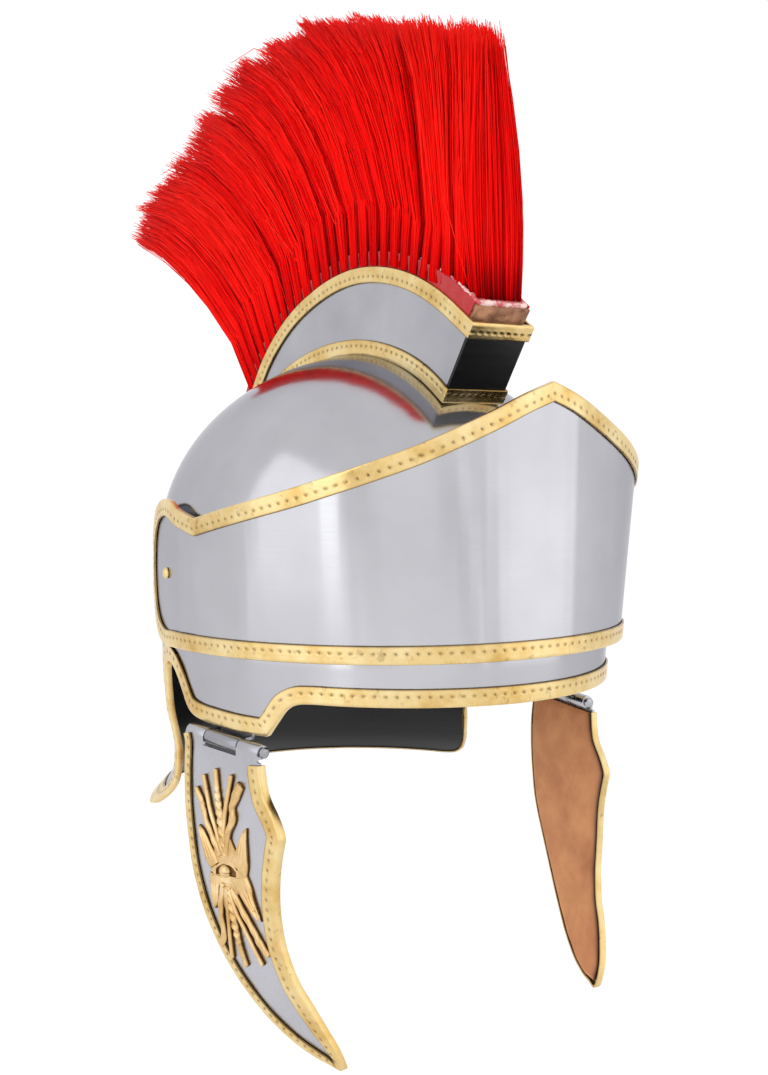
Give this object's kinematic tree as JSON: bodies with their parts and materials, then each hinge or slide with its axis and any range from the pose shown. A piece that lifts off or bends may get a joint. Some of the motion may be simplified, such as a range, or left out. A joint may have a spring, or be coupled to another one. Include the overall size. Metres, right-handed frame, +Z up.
{
  "type": "plumed helmet",
  "caption": "Steel attic helmet with brass edges, tall brow band, flared neck guard, hinged cheek guards with raised thunderbolts, and a red plume.",
  "frame": {"origin": "top of the head hollow on the middle plane, where the helmet sits on the head", "axes": "+Z up through the crest, the face looks along -Y, the wearer's right is -X"},
  "size_m": [0.218, 0.3793, 0.4858],
  "materials": {
    "steel": "brushed, half bright",
    "hinge_steel": "plain drawn steel",
    "brass": "polished, with tarnish spots",
    "black": "satin black",
    "block": "matt brown",
    "tape": "woven tape",
    "hair": "dyed horsehair",
    "leather": "smooth, vegetable tanned"
  },
  "bodies": {
    "helmet": {"skull": "steel", "rim_trim": "brass", "brow_band": "steel", "band_trim": "brass", "band_rivet_right": "brass", "band_rivet_left": "brass", "crest_side_right": "steel", "crest_side_left": "steel", "crest_front_plate": "black", "crest_trim_top": "brass", "crest_trim_bottom": "brass", "crest_block": "block", "plume_tape": "tape", "plume": "hair", "hinge_leaf_right": "hinge_steel", "hinge_leaf_left": "hinge_steel", "hinge_pin_right": "hinge_steel", "hinge_pin_left": "hinge_steel"},
    "cheek_right": {"cheek_plate_right": "steel", "cheek_trim_right": "brass", "cheek_emblem_right": "brass", "cheek_lining_right": "leather"},
    "cheek_left": {"cheek_plate_left": "steel", "cheek_trim_left": "brass", "cheek_emblem_left": "brass", "cheek_lining_left": "leather"}
  },
  "joints": [
    {"name": "cheek_right_hinge", "type": "hinge", "parent": "helmet", "child": "cheek_right", "pos_m": [-0.1018, -0.0196, -0.1744], "axis": [-0.1462, 0.9875, 0.0592], "range_deg": [-30, 80]},
    {"name": "cheek_left_hinge", "type": "hinge", "parent": "helmet", "child": "cheek_left", "pos_m": [0.1018, -0.0196, -0.1744], "axis": [-0.1462, -0.9875, -0.0592], "range_deg": [-30, 80]}
  ]
}
